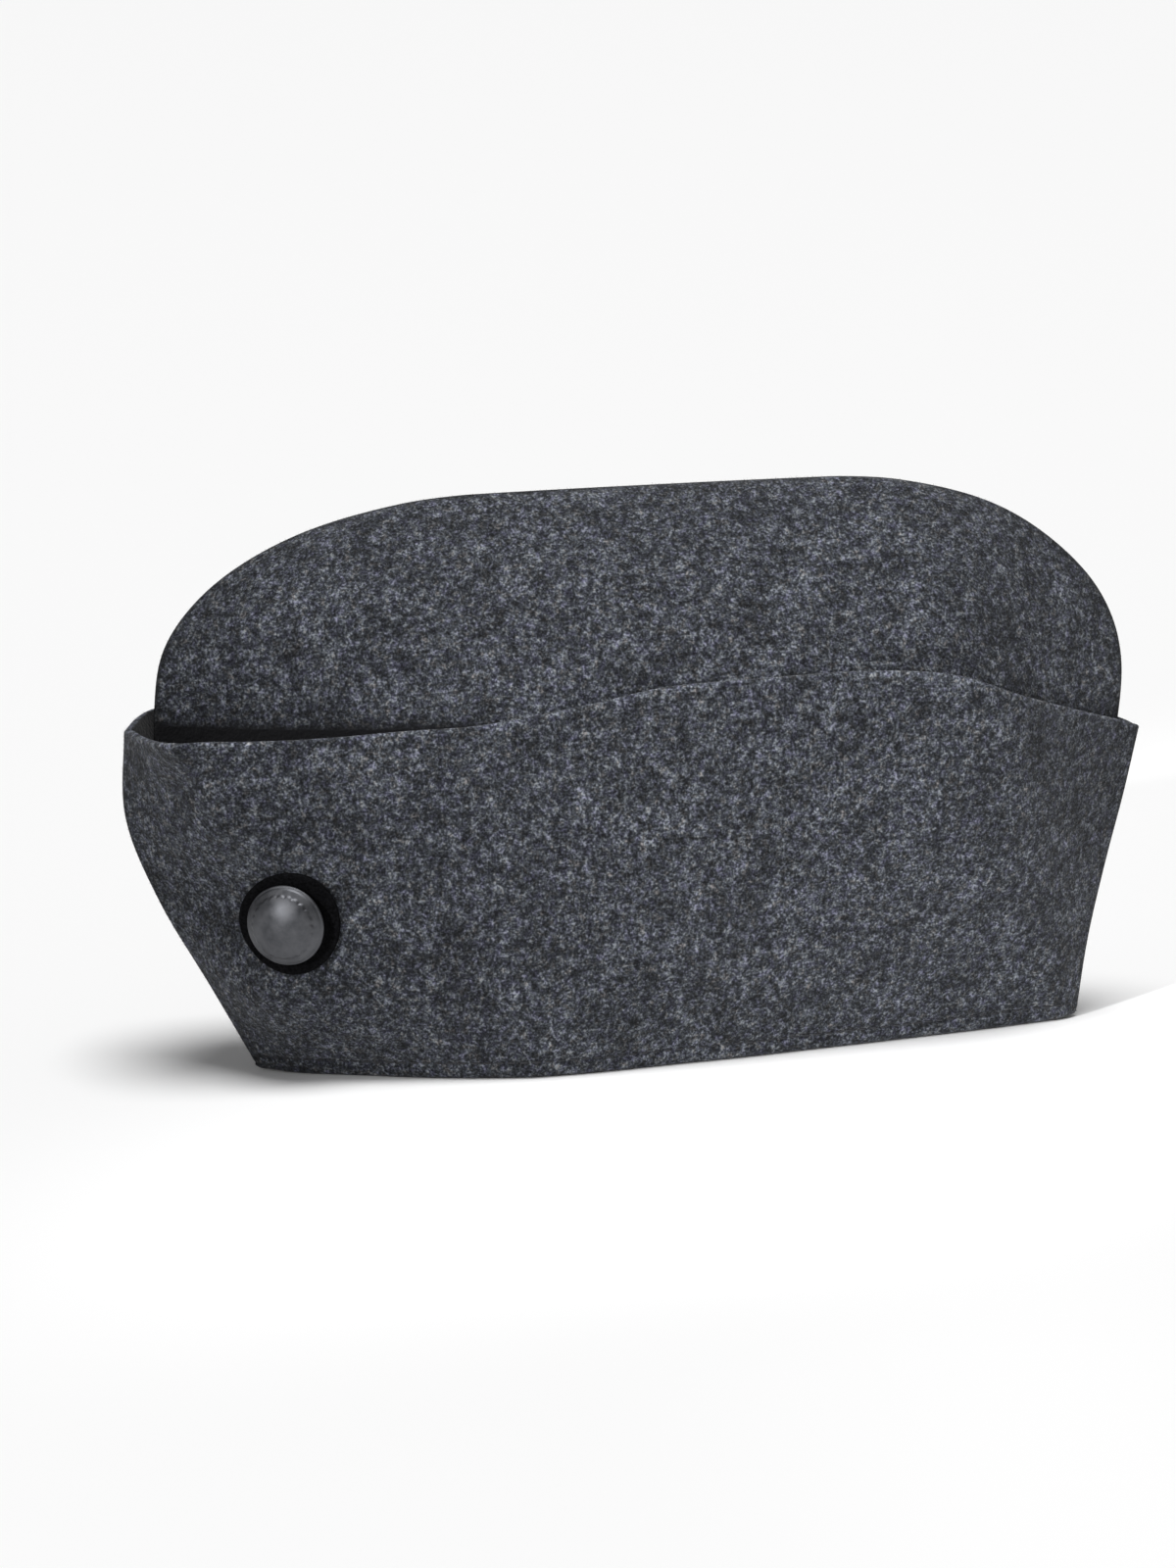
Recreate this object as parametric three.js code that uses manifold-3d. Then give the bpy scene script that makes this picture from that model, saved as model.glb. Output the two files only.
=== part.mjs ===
// A side cap of wool felt: two crown panels, a turned-up curtain in two halves, and a domed button.
// Millimetres. The front is -X, the wearer's left is -Y, and the rim rests on z = 0.
import * as THREE from "three";
import { mergeVertices } from "three/addons/utils/BufferGeometryUtils.js";
import Module from "manifold-3d";

// Driving dimensions
const WALL = 2.0; // thickness of the cloth
const SEAM_GAP = 0.3; // between two panels sewn edge to edge
const CROWN_FOOT = WALL + 0.4; // height of the lower edge of the crown, just over the hem
const HEM_REACH = 4.6; // width of the hem that is folded in under the crown
const FRONT_ROUND = 22; // size of the bend between the side and the front of a section
const BACK_ROUND = 8; // the same towards the back, where the cloth is creased
const END_ROUND = 0.85; // largest bend, as a share of the section's half-width at its ends
const DENT_FADE = 9; // half-width over which a dent dies out towards a seam

const BUTTON_AT = { x: -102.4, z: 46.9 }; // centre of the button on the curtain
const BUTTON_RADIUS = 11.2;
const BUTTON_EDGE = 1.1; // height of the button's upright edge
const BUTTON_DOME = 4.2; // rise of the dome over that edge
const BUTTON_CLEAR = 0.3; // between the button and what it touches
const SHANK_RADIUS = 2.0;
const SHANK_PAST = 1.0; // how far the shank reaches behind the curtain
const DRILL_LENGTH = 6 * WALL; // enough to pierce the curtain at the shank
const BACKING_RADIUS = 14.6;
const BACKING_THICK = 1.2;
const BACKING_CLEAR = 0.7; // between the felt round and the curtain, whose facets stray from its true curve

// Horizontal sections. front and back are where the two panels meet, and half is the largest half-width,
// at x = widest. The tapers are the shares of it that are lost at the ends, along a curve of the power arch.
// frontDeg and backDeg are the angles of the two ends to the centre plane.
const SECTION_COLUMNS = [
  "level", "front", "back", "half", "widest", "frontTaper", "backTaper", "frontDeg", "backDeg", "arch",
];
const CROWN_SECTIONS = [
  [CROWN_FOOT, -107.2, 120.4, 32.8, -38, 0.915, 0.955, 43, 44, 1.3],
  [26.0, -118.2, 125.0, 36.9, -30, 0.55, 0.805, 46, 42, 1.6],
  [52.0, -130.2, 132.0, 39.3, -12, 0.55, 0.59, 38, 40, 1.9],
  [78.0, -135.6, 137.8, 39.4, 4, 0.4, 0.385, 36, 36, 2.0],
  [102.6, -135.8, 140.4, 37.6, 12, 0.28, 0.28, 34, 32, 2.0],
  [121.6, -131.6, 134.9, 32.0, 14, 0.27, 0.27, 35, 32, 2.0],
  [137.6, -117.4, 121.4, 23.2, 12, 0.3, 0.3, 38, 32.5, 2.0],
  [149.7, -94.6, 102.8, 13.2, 8, 0.4, 0.4, 42, 33, 2.0],
  [156.8, -66.0, 78.0, 5.0, 6, 0.5, 0.5, 45, 35, 2.0],
  [159.2, -38.0, 52.0, 0.0, 6, 0.5, 0.5, 45, 35, 2.0],
];

// The curtain's levels are shares of its height, which TOP_EDGE gives along the cap.
const CURTAIN_SECTIONS = [
  [0.0, -111.0, 125.2, 35.5, -38, 0.92, 0.92, 44, 48, 1.3],
  [0.25, -123.4, 129.2, 40.0, -30, 0.5, 0.76, 68, 43, 1.6],
  [0.5, -136.6, 134.6, 42.4, -12, 0.55, 0.56, 46, 41, 1.9],
  [0.75, -145.0, 140.4, 42.4, 4, 0.38, 0.37, 58, 39.5, 2.0],
  [1.0, -144.0, 145.4, 40.8, 14, 0.2, 0.22, 79, 38, 2.0],
];
const TOP_EDGE = [
  { x: -144, z: 98.2 },
  { x: -118, z: 98.2 },
  { x: -92, z: 98.2 },
  { x: -70, z: 99.3 },
  { x: -48, z: 100 },
  { x: -22, z: 103.8 },
  { x: 0, z: 107.6 },
  { x: 30, z: 108.9 },
  { x: 60, z: 108.9 },
  { x: 84, z: 106 },
  { x: 104, z: 98.4 },
  { x: 122, z: 91.6 },
  { x: 146, z: 83 },
];

// Dents as oval hollows: centre, reach along and across, turn from level in degrees, and depth.
const CURTAIN_DENTS = [{ x: -131.5, z: 86, along: 16, across: 5.5, turn: 40, depth: 2.4 }];
const SHARED_DENTS = [
  { x: -44, z: 74, along: 26, across: 15, turn: 20, depth: 1.1 },
  { x: -82, z: 33, along: 24, across: 13, turn: -30, depth: 0.9 },
  { x: 48, z: 52, along: 40, across: 15, turn: 75, depth: 0.9 },
  { x: -62, z: 124, along: 26, across: 13, turn: 24, depth: 1.3 },
  { x: 66, z: 130, along: 24, across: 12, turn: -20, depth: 1.2 },
];

// How finely the walls are divided
const CROWN_COLUMNS = 32;
const CROWN_ROWS_PER_SECTION = 1.6;
const CURTAIN_COLUMNS = 34;
const CURTAIN_ROWS = 10;
const END_CROWDING = 0.5; // how much closer the columns stand at the front and back
const ROUND_SIDES = 24;
const DOME_RINGS = 6;
const NORMAL_STEP = 0.5; // spacing of the points that give the curtain's normal

const WOOL_COLOUR = 0x46494f;
const FELT_COLOUR = 0x141416;
const BUTTON_COLOUR = 0x5c5f64;

const wasm = await Module();
wasm.setup();
const radians = THREE.MathUtils.degToRad;

// A smooth curve through four values, at f between the second and the third.
function throughFour(a, b, c, d, f) {
  const square = 2 * a - 5 * b + 4 * c - d;
  const cube = 3 * b - a - 3 * c + d;
  return 0.5 * (2 * b + (c - a) * f + square * f * f + cube * f * f * f);
}

// A section between the rows of a table; place counts rows from 0.
function sectionAt(sections, place) {
  const last = sections.length - 1;
  const i = Math.min(Math.floor(place), last - 1);
  const made = {};
  SECTION_COLUMNS.forEach((name, k) => {
    const b = sections[i][k];
    const c = sections[i + 1][k];
    const a = i > 0 ? sections[i - 1][k] : 2 * b - c;
    const d = i + 2 <= last ? sections[i + 2][k] : 2 * c - b;
    made[name] = throughFour(a, b, c, d, place - i);
  });
  return made;
}

// The lesser of two values, with the corner between them rounded over a width.
function roundedMin(a, b, width) {
  const h = Math.max(width - Math.abs(a - b), 0) / width;
  return Math.min(a, b) - (h * h * width) / 4;
}

// Half-width of a section at x: an arched side, cut off by the straight front and back.
function halfWidth(x, s) {
  const ahead = x < s.widest;
  const share = ahead ? (s.widest - x) / (s.widest - s.front) : (x - s.widest) / (s.back - s.widest);
  const side = s.half * (1 - (ahead ? s.frontTaper : s.backTaper) * share ** s.arch);
  const front = (x - s.front) * Math.tan(radians(s.frontDeg));
  const back = (s.back - x) * Math.tan(radians(s.backDeg));
  const opened = roundedMin(side, front, bendWidth(FRONT_ROUND, s.half, s.frontTaper));
  return Math.max(roundedMin(opened, back, bendWidth(BACK_ROUND, s.half, s.backTaper)), 0);
}

// Size of a bend, kept below the half-width that a section has at that end.
function bendWidth(largest, half, taper) {
  return Math.min(largest, END_ROUND * half * (1 - taper) + Number.EPSILON);
}

// Height of the curtain's top edge at x, with slopes taken from the neighbouring rows.
function topEdge(x) {
  const last = TOP_EDGE.length - 1;
  const at = THREE.MathUtils.clamp(x, TOP_EDGE[0].x, TOP_EDGE[last].x);
  const next = TOP_EDGE.findIndex((p, k) => k > 0 && at <= p.x);
  const slope = (k) => {
    const a = TOP_EDGE[Math.max(k - 1, 0)];
    const b = TOP_EDGE[Math.min(k + 1, last)];
    return (b.z - a.z) / (b.x - a.x);
  };
  const p = TOP_EDGE[next - 1];
  const q = TOP_EDGE[next];
  const step = q.x - p.x;
  const f = (at - p.x) / step;
  const rise = 3 * f * f - 2 * f * f * f;
  const leave = f * (1 - f) * (1 - f) * slope(next - 1);
  const arrive = f * f * (1 - f) * slope(next);
  return p.z + (q.z - p.z) * rise + step * (leave - arrive);
}

// Depth of the dents of a table at x, z.
function dentDepth(dents, x, z) {
  let depth = 0;
  for (const d of dents) {
    const c = Math.cos(radians(d.turn));
    const s = Math.sin(radians(d.turn));
    const along = ((x - d.x) * c + (z - d.z) * s) / d.along;
    const across = ((z - d.z) * c - (x - d.x) * s) / d.across;
    depth += d.depth * Math.exp(-along * along - across * across);
  }
  return depth;
}

// A point of the left side at x, z, from its half-width, with the dents pressed in.
function leftPoint(x, z, half, dents) {
  const pressed = half - dentDepth(dents, x, z) * Math.min(half / DENT_FADE, 1);
  return new THREE.Vector3(x, -(Math.max(pressed, 0) + SEAM_GAP / 2), z);
}

// Share of a section's length at a column, with the columns crowded towards both ends.
function columnShare(column, columns) {
  const turn = (2 * Math.PI * column) / columns;
  return column / columns - (END_CROWDING * Math.sin(turn)) / (2 * Math.PI);
}

function crownPoint(column, place) {
  const s = sectionAt(CROWN_SECTIONS, place);
  const x = THREE.MathUtils.lerp(s.front, s.back, columnShare(column, CROWN_COLUMNS));
  return leftPoint(x, s.level, halfWidth(x, s), SHARED_DENTS);
}

// The curtain's outer face as a function of x and height.
function curtainFace(x, z) {
  const place = (z / topEdge(x)) * (CURTAIN_SECTIONS.length - 1);
  const s = sectionAt(CURTAIN_SECTIONS, place);
  return leftPoint(x, z, halfWidth(x, s), [...SHARED_DENTS, ...CURTAIN_DENTS]);
}

function curtainPoint(column, place) {
  const s = sectionAt(CURTAIN_SECTIONS, place);
  const x = THREE.MathUtils.lerp(s.front, s.back, columnShare(column, CURTAIN_COLUMNS));
  return curtainFace(x, s.level * topEdge(x));
}

// The outer points of a wall, column by column from the front, each from the bottom up.
function outerGrid(columns, places, pointAt) {
  const grid = [];
  for (let i = 0; i <= columns; i++) grid.push(places.map((place) => pointAt(i, place)));
  return grid;
}

// The normal of the grid at a column and row, which points away from the cap.
function gridNormal(grid, i, j) {
  const rows = grid[0].length;
  const before = grid[Math.max(i - 1, 0)][j];
  const after = grid[Math.min(i + 1, grid.length - 1)][j];
  const below = grid[i][Math.max(j - 1, 0)];
  const above = grid[i][Math.min(j + 1, rows - 1)];
  const along = after.clone().sub(before);
  return along.cross(above.clone().sub(below)).normalize();
}

// A point set in from the outer face, held on its own side of the centre plane.
function setIn(point, normal, depth) {
  const inner = point.clone().addScaledVector(normal, -depth);
  inner.y = Math.min(inner.y, -SEAM_GAP / 2);
  return inner;
}

// The triangles that fill a loop in the centre plane, each with its corners in the loop's own order.
function capTriangles(loop) {
  const outline = loop.map((p) => new THREE.Vector2(p.x, p.z));
  const triangles = THREE.ShapeUtils.triangulateShape(outline, []);
  return triangles.map((corners) => [...corners].sort((a, b) => a - b));
}

// A solid from closed loops of points, one for each column, with a flat cap at the first and the last.
function solidFromLoops(loops) {
  const around = loops[0].length;
  const positions = loops.flat().flatMap((p) => [p.x, p.y, p.z]);
  const index = [];
  for (let i = 0; i + 1 < loops.length; i++) {
    for (let k = 0; k < around; k++) {
      const a = i * around + k;
      const b = i * around + ((k + 1) % around);
      index.push(a, a + around, b, b, a + around, b + around);
    }
  }
  const end = (loops.length - 1) * around;
  for (const [a, b, c] of capTriangles(loops[0])) index.push(a, b, c);
  for (const [a, b, c] of capTriangles(loops[loops.length - 1])) index.push(end + a, end + c, end + b);
  const geometry = new THREE.BufferGeometry();
  geometry.setAttribute("position", new THREE.Float32BufferAttribute(positions, 3));
  return geometry.setIndex(index);
}

function crownLoops() {
  const last = CROWN_SECTIONS.length - 1;
  const rows = Math.round(last * CROWN_ROWS_PER_SECTION);
  const places = Array.from({ length: rows + 1 }, (_, j) => (j * last) / rows);
  const grid = outerGrid(CROWN_COLUMNS, places, crownPoint);
  return grid.map((outer, i) => {
    const inner = outer.map((p, j) => setIn(p, gridNormal(grid, i, j), WALL));
    inner[0].z = outer[0].z;
    return [...outer, ...inner.reverse()];
  });
}

// Each loop of the curtain goes up the outer face, down the inner one and round the hem under the crown.
function curtainLoops() {
  const last = CURTAIN_SECTIONS.length - 1;
  const hemTop = WALL / topEdge(0);
  const shares = [0, hemTop];
  for (let j = 1; j <= CURTAIN_ROWS; j++) shares.push(hemTop + ((1 - hemTop) * j) / CURTAIN_ROWS);
  const grid = outerGrid(CURTAIN_COLUMNS, shares.map((share) => share * last), curtainPoint);
  return grid.map((outer, i) => {
    const inner = outer.map((p, j) => setIn(p, gridNormal(grid, i, j), WALL));
    inner[1].z = WALL;
    const inward = gridNormal(grid, i, 0).setZ(0).normalize();
    const hemUnder = setIn(outer[0], inward, HEM_REACH);
    const hemOver = hemUnder.clone().setZ(WALL);
    return [...outer, ...inner.slice(1).reverse(), hemOver, hemUnder];
  });
}

// The same solid on the other side of the centre plane.
function mirrored(geometry) {
  const copy = geometry.clone().scale(1, -1, 1);
  const index = copy.index.array;
  for (let k = 0; k < index.length; k += 3) [index[k + 1], index[k + 2]] = [index[k + 2], index[k + 1]];
  return copy;
}

function solidOf(geometry) {
  const bare = geometry.clone();
  bare.deleteAttribute("normal");
  bare.deleteAttribute("uv");
  const merged = mergeVertices(bare);
  const triVerts = new Uint32Array(merged.index.array);
  const vertProperties = merged.attributes.position.array;
  return new wasm.Manifold(new wasm.Mesh({ numProp: 3, vertProperties, triVerts }));
}

function geometryOf(solid) {
  const mesh = solid.getMesh();
  const geometry = new THREE.BufferGeometry();
  geometry.setAttribute("position", new THREE.BufferAttribute(mesh.vertProperties, 3));
  return geometry.setIndex(new THREE.BufferAttribute(mesh.triVerts, 1));
}

// The curtain's outward normal at x, z, from points a little to each side.
function curtainNormal(x, z) {
  const along = curtainFace(x + NORMAL_STEP, z).sub(curtainFace(x - NORMAL_STEP, z));
  const up = curtainFace(x, z + NORMAL_STEP).sub(curtainFace(x, z - NORMAL_STEP));
  return along.cross(up).normalize();
}

// The button's seat: its centre on the curtain, its axis, and two directions across it.
function buttonSeat() {
  const axis = curtainNormal(BUTTON_AT.x, BUTTON_AT.z);
  const level = new THREE.Vector3(-axis.y, axis.x, 0).normalize();
  const upward = axis.clone().cross(level);
  return { centre: curtainFace(BUTTON_AT.x, BUTTON_AT.z), axis, level, upward };
}

// The curtain's face at a radius and angle round the button's centre.
function seatPoint(seat, radius, angle) {
  const flat = seat.centre.clone();
  flat.addScaledVector(seat.level, radius * Math.cos(angle));
  flat.addScaledVector(seat.upward, radius * Math.sin(angle));
  return curtainFace(flat.x, flat.z);
}

// The felt round follows the curtain's face and has a hole for the shank.
function backingGeometry(seat) {
  const radii = [SHANK_RADIUS + BUTTON_CLEAR, (SHANK_RADIUS + BACKING_RADIUS) / 2, BACKING_RADIUS];
  const loops = [];
  for (let k = 0; k < ROUND_SIDES; k++) {
    const angle = (2 * Math.PI * k) / ROUND_SIDES;
    const faces = radii.map((radius) => seatPoint(seat, radius, angle));
    const normals = faces.map((p) => curtainNormal(p.x, p.z));
    const under = faces.map((p, n) => p.clone().addScaledVector(normals[n], BACKING_CLEAR));
    const over = faces.map((p, n) => p.clone().addScaledVector(normals[n], BACKING_CLEAR + BACKING_THICK));
    loops.push([...under, ...over.reverse()]);
  }
  return ringFromLoops(loops);
}

// A closed ring from loops of points, the last joined to the first.
function ringFromLoops(loops) {
  const around = loops[0].length;
  const total = loops.length * around;
  const index = [];
  for (let i = 0; i < loops.length; i++) {
    for (let k = 0; k < around; k++) {
      const a = i * around + k;
      const b = i * around + ((k + 1) % around);
      const c = (a + around) % total;
      const d = (b + around) % total;
      index.push(a, c, b, b, c, d);
    }
  }
  const geometry = new THREE.BufferGeometry();
  const positions = loops.flat().flatMap((p) => [p.x, p.y, p.z]);
  geometry.setAttribute("position", new THREE.Float32BufferAttribute(positions, 3));
  return geometry.setIndex(index);
}

// How far the button's flat underside stands off the curtain so that it clears the curved backing.
function buttonLift(seat) {
  let highest = 0;
  for (let k = 0; k < ROUND_SIDES; k++) {
    const p = seatPoint(seat, BUTTON_RADIUS, (2 * Math.PI * k) / ROUND_SIDES);
    highest = Math.max(highest, p.sub(seat.centre).dot(seat.axis));
  }
  return highest + BACKING_CLEAR + BACKING_THICK + BUTTON_CLEAR;
}

// The button in profile from the end of its shank to the top of its dome, turned round its own axis.
function buttonGeometry(shankLength) {
  const profile = [
    new THREE.Vector2(0, -shankLength),
    new THREE.Vector2(SHANK_RADIUS, -shankLength),
    new THREE.Vector2(SHANK_RADIUS, 0),
    new THREE.Vector2(BUTTON_RADIUS, 0),
  ];
  const sphere = (BUTTON_RADIUS ** 2 + BUTTON_DOME ** 2) / (2 * BUTTON_DOME);
  const widest = Math.asin(BUTTON_RADIUS / sphere);
  for (let k = DOME_RINGS; k >= 0; k--) {
    const angle = (widest * k) / DOME_RINGS;
    const rise = sphere * Math.cos(angle) - sphere + BUTTON_DOME;
    profile.push(new THREE.Vector2(k > 0 ? sphere * Math.sin(angle) : 0, BUTTON_EDGE + rise));
  }
  return new THREE.LatheGeometry(profile, ROUND_SIDES);
}

function buttonMesh(seat, material) {
  const lift = buttonLift(seat);
  const mesh = new THREE.Mesh(buttonGeometry(lift + WALL + SHANK_PAST), material);
  mesh.name = "button";
  mesh.position.copy(seat.centre).addScaledVector(seat.axis, lift);
  mesh.quaternion.setFromUnitVectors(new THREE.Vector3(0, 1, 0), seat.axis);
  return mesh;
}

// The curtain's left half with the hole that the shank goes through.
function piercedCurtain(geometry, seat) {
  const radius = SHANK_RADIUS + BUTTON_CLEAR;
  const drill = new THREE.CylinderGeometry(radius, radius, DRILL_LENGTH, ROUND_SIDES);
  drill.applyQuaternion(new THREE.Quaternion().setFromUnitVectors(new THREE.Vector3(0, 1, 0), seat.axis));
  drill.translate(seat.centre.x, seat.centre.y, seat.centre.z);
  return geometryOf(solidOf(geometry).subtract(solidOf(drill)));
}

function named(name, geometry, material) {
  const mesh = new THREE.Mesh(geometry, material);
  mesh.name = name;
  return mesh;
}

function sideCap() {
  const wool = new THREE.MeshStandardMaterial({ color: WOOL_COLOUR, roughness: 0.95, metalness: 0 });
  const felt = new THREE.MeshStandardMaterial({ color: FELT_COLOUR, roughness: 1, metalness: 0 });
  const metal = new THREE.MeshStandardMaterial({ color: BUTTON_COLOUR, roughness: 0.35, metalness: 1 });
  const crown = solidFromLoops(crownLoops());
  const curtain = solidFromLoops(curtainLoops());
  const seat = buttonSeat();
  const cap = new THREE.Group();
  cap.add(named("crown_left", crown, wool), named("crown_right", mirrored(crown), wool));
  cap.add(named("curtain_left", piercedCurtain(curtain, seat), wool));
  cap.add(named("curtain_right", mirrored(curtain), wool));
  cap.add(named("button_backing", backingGeometry(seat), felt), buttonMesh(seat, metal));
  return cap;
}

export default sideCap();
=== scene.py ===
"""A side cap of napped melange wool: crown, turned-up curtain, hem stitches, loose fibres and a button.

Metres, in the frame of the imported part: the front is -X, the wearer's left is -Y, and the rim rests on z = 0.
"""
import math

import bpy
import numpy as np
from mathutils import Matrix, Vector


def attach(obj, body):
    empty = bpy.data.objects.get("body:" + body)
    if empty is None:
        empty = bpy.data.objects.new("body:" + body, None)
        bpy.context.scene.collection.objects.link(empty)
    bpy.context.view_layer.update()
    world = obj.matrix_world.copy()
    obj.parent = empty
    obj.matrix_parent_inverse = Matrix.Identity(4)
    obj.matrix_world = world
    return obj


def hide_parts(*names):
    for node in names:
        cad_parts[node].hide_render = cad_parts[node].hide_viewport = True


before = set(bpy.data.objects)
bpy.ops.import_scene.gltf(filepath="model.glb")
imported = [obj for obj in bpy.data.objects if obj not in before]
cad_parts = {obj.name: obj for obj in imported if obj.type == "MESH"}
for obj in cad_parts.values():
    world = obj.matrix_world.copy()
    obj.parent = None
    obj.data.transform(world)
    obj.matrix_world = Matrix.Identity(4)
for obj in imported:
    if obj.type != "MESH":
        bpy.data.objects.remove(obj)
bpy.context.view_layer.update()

# Cloth, seams and hem
WALL = 0.0020  # thickness of the wool
SEAM_GAP = 0.0003  # between two panels sewn edge to edge
SEAM_ROUND = 0.0011  # how far a panel's edge rolls into its seam
HEM_REACH = 0.0046  # width of the hem folded in under the crown
HEM_ROUND = 0.0018  # radius of the fold at the foot of the curtain
HEM_BAND = 0.0080  # height of the finely divided band over the fold
FOOT_CORNER = 0.0030  # radius of the curtain's lower corners in the centre plane
EDGE_CORNER = 0.0010  # radius of its upper corners
FRONT_ROUND = 0.022  # size of the bend between the side and the front of a section
BACK_ROUND = 0.008  # the same towards the back, where the cloth is creased
END_ROUND = 0.85  # largest bend, as a share of a section's half-width at its ends
DENT_FADE = 0.009  # half-width over which a dent dies out towards a seam

# Painted shade, painted highlight and wear along the cloth's edges, and painted shadow in the open slot
SEAM_PAINTED_SHADE = 0.80  # painted shade: how much darker the cloth is painted in the furrow of a seam
SEAM_PAINTED_SHADE_WIDTH = 0.0011
EDGE_WEAR_AND_HIGHLIGHT = 0.55  # how much lighter the curtain's top edge is painted: worn nap and a painted highlight where the fold catches the light
EDGE_WEAR_AND_HIGHLIGHT_WIDTH = 0.0012
SLOT_SHADOW_FADE = 0.0012  # height over which the painted shadow on the crown in the slot gives way to the wool
SLOT_END = -0.035  # where the open slot at the front closes, and its painted shadow ends
SLOT_FADE = 0.055  # length over which the slot and its painted shadow open towards the front
SLOT_SHADOW_RISE = 0.0026  # how far the painted shadow on the crown reaches over the curtain's edge in the slot

# Stitches along the hem
STITCH_HEIGHT = 0.0046
STITCH_PITCH = 0.0034
STITCH_LENGTH = 0.0027
STITCH_WIDTH = 0.0007
STITCH_SINK = 0.00045  # depth of the furrow that the thread pulls into the cloth
STITCH_FURROW = 0.0008  # half-width of that furrow
HEM_PUFF = 0.00025  # how far the folded hem swells under the stitches

# Button and the felt round behind it
BUTTON_X = -0.1024
BUTTON_Z = 0.0469
BUTTON_RADIUS = 0.0112
BUTTON_EDGE = 0.0011
BUTTON_DOME = 0.0042
BUTTON_CLEAR = 0.0003
SHANK_RADIUS = 0.0020
SHANK_PAST = 0.0010
FACE_SHARE = 0.80  # radius of the raised face, as a share of the button's
FACE_RISE = 0.00036
FACE_STEP = 0.00035  # width of the step at the face's border
SCALLOPS = 24
SCALLOP_DEPTH = 0.055  # as a share of the face's radius
BACKING_RADIUS = 0.0146
BACKING_THICK = 0.0012
BACKING_CLEAR = 0.0007
FELT_NAP = 0.0005  # how far the felt's nap fills that gap

# Loose fibres of the nap
FIBRE_DENSITY = 2.0e6  # per square metre
FIBRE_LENGTH = 0.0011
FIBRE_WIDTH = 0.00008
FIBRE_LIFT = 0.55  # how far a fibre stands up, against lying flat
FIBRE_FLOOR = 0.0013  # height under which none grows, so that none reaches the floor

# Camera at the photograph's angle
VIEW_AZIMUTH = -9.0
VIEW_ELEVATION = 9.5
VIEW_ROLL = -1.85
VIEW_DISTANCE = 1.6
VIEW_TARGET = Vector((-0.0145, 0.0, 0.0754))
VIEW_LENS = 130.9

# Light of the studio
KEY_AZIMUTH = 0.0
KEY_ELEVATION = 78.0
KEY_BREADTH = 30.0  # spread of the main light, in degrees
KEY_STRENGTH = 2.75
SPOT_SIZE = 0.05
SPOT_COLUMNS = ("name", "place", "target", "cone", "power")
SPOTS = (
    ("side", (-1.40, -1.50, 0.72), (0.100, 0.0, 0.070), 11.0, 200.0),
    ("low", (-0.20, -1.80, 0.12), (0.085, 0.0, 0.018), 7.0, 60.0),
)
SKY_STRENGTH = 0.20
FLOOR_REACH = 30.0
FLOOR_DROP = 0.0002  # how far the floor lies under the rim
FLOOR_COLOUR = (0.93, 0.93, 0.93, 1.0)
FLOOR_ROUGHNESS = 0.9

# Horizontal sections. front and back are where the two panels meet, and half is the largest half-width,
# at x = widest. The tapers are the shares of it that are lost at the ends, along a curve of the power arch.
# front_deg and back_deg are the angles of the two ends to the centre plane.
SECTION_COLUMNS = (
    "level", "front", "back", "half", "widest", "front_taper", "back_taper", "front_deg", "back_deg", "arch",
)
CROWN_SECTIONS = (
    (0.0024, -0.1072, 0.1204, 0.0328, -0.038, 0.915, 0.955, 43, 44, 1.3),
    (0.0260, -0.1182, 0.1250, 0.0369, -0.030, 0.55, 0.805, 46, 42, 1.6),
    (0.0520, -0.1302, 0.1320, 0.0393, -0.012, 0.55, 0.59, 38, 40, 1.9),
    (0.0780, -0.1356, 0.1378, 0.0394, 0.004, 0.40, 0.385, 36, 36, 2.0),
    (0.1026, -0.1358, 0.1404, 0.0376, 0.012, 0.28, 0.28, 34, 32, 2.0),
    (0.1216, -0.1316, 0.1349, 0.0320, 0.014, 0.27, 0.27, 35, 32, 2.0),
    (0.1376, -0.1174, 0.1214, 0.0232, 0.012, 0.30, 0.30, 38, 32.5, 2.0),
    (0.1497, -0.0946, 0.1028, 0.0132, 0.008, 0.40, 0.40, 42, 33, 2.0),
    (0.1568, -0.0660, 0.0780, 0.0050, 0.006, 0.50, 0.50, 45, 35, 2.0),
    (0.1592, -0.0380, 0.0520, 0.0000, 0.006, 0.50, 0.50, 45, 35, 2.0),
)
# The curtain's levels are shares of its height, which TOP_EDGE gives along the cap.
CURTAIN_SECTIONS = (
    (0.00, -0.1110, 0.1252, 0.0355, -0.038, 0.92, 0.92, 44, 48, 1.3),
    (0.25, -0.1234, 0.1292, 0.0400, -0.030, 0.50, 0.76, 68, 43, 1.6),
    (0.50, -0.1366, 0.1346, 0.0424, -0.012, 0.55, 0.56, 46, 41, 1.9),
    (0.75, -0.1450, 0.1404, 0.0424, 0.004, 0.38, 0.37, 58, 39.5, 2.0),
    (1.00, -0.1440, 0.1454, 0.0408, 0.014, 0.20, 0.22, 79, 38, 2.0),
)
TOP_EDGE = (
    (-0.144, 0.0982),
    (-0.118, 0.0982),
    (-0.092, 0.0982),
    (-0.070, 0.0993),
    (-0.048, 0.1000),
    (-0.022, 0.1038),
    (0.000, 0.1076),
    (0.030, 0.1089),
    (0.060, 0.1089),
    (0.084, 0.1060),
    (0.104, 0.0984),
    (0.122, 0.0916),
    (0.146, 0.0830),
)
# Dents as oval hollows: centre, reach along and across, turn from level in degrees, and depth.
DENT_COLUMNS = ("x", "z", "along", "across", "turn", "depth")
CURTAIN_DENTS = ((-0.1315, 0.086, 0.016, 0.0055, 40, 0.0024),)
SHARED_DENTS = (
    (-0.044, 0.074, 0.026, 0.015, 20, 0.0011),
    (-0.082, 0.033, 0.024, 0.013, -30, 0.0009),
    (0.048, 0.052, 0.040, 0.015, 75, 0.0009),
    (-0.062, 0.124, 0.026, 0.013, 24, 0.0013),
    (0.066, 0.130, 0.024, 0.012, -20, 0.0012),
)
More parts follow.
